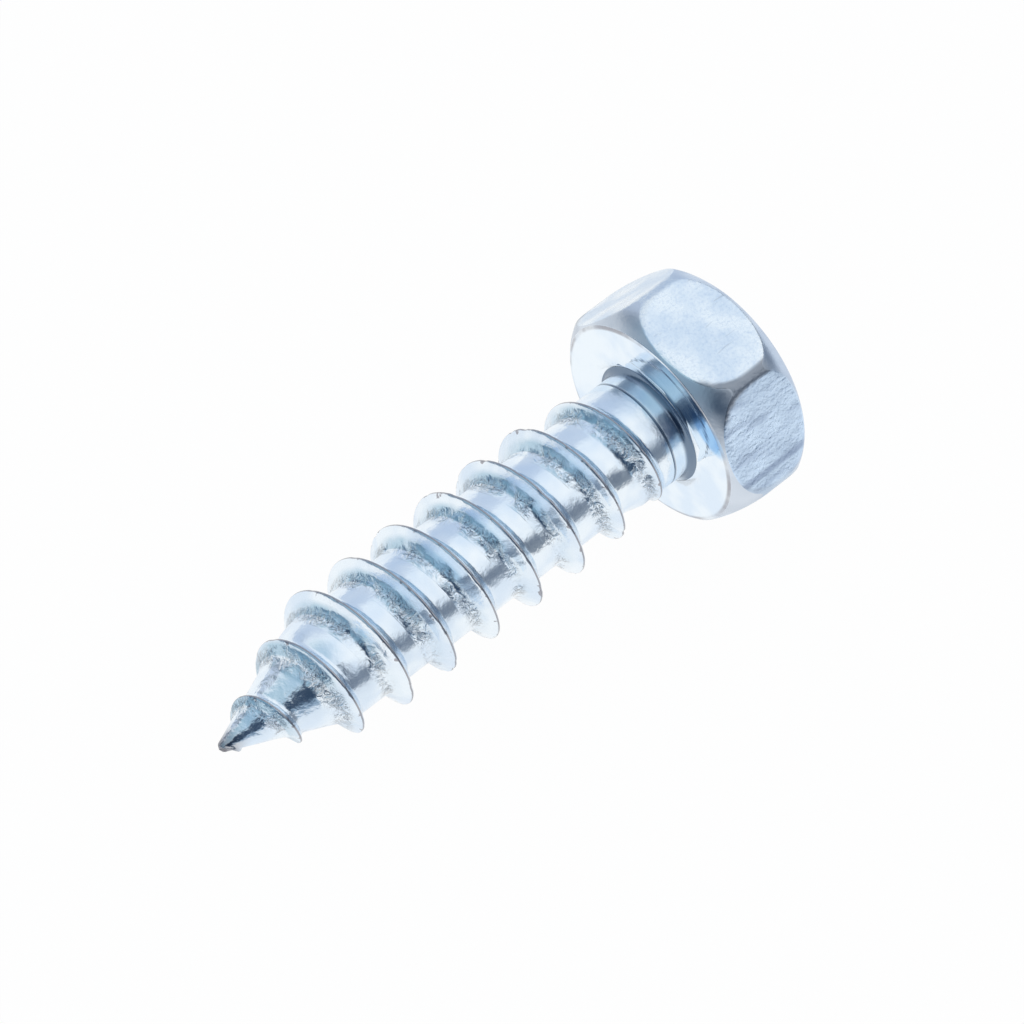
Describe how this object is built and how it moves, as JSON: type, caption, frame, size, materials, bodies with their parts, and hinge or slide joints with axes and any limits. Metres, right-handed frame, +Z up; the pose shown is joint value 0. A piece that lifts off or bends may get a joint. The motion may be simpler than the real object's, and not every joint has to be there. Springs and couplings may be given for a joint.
{
  "type": "hex head sheet metal screw",
  "caption": "Self-tapping screw with a plain hex head, a short neck, a coarse right-hand thread and a sharp point, lying on one flat of its head.",
  "frame": {"origin": "on the surface that the screw lies on, halfway along and across its box", "axes": "+X towards the head and +Z up. The screw's own axis is in the XZ plane and rises towards the head by 5.6 degrees, because it lies on one flat of the head and on a crest of its thread"},
  "size_m": [0.0156, 0.006, 0.0055],
  "materials": {
    "zinc_plated_steel": "bright zinc plated, blue-white passivated"
  },
  "bodies": {
    "root": {"screw": "zinc_plated_steel"}
  },
  "joints": []
}
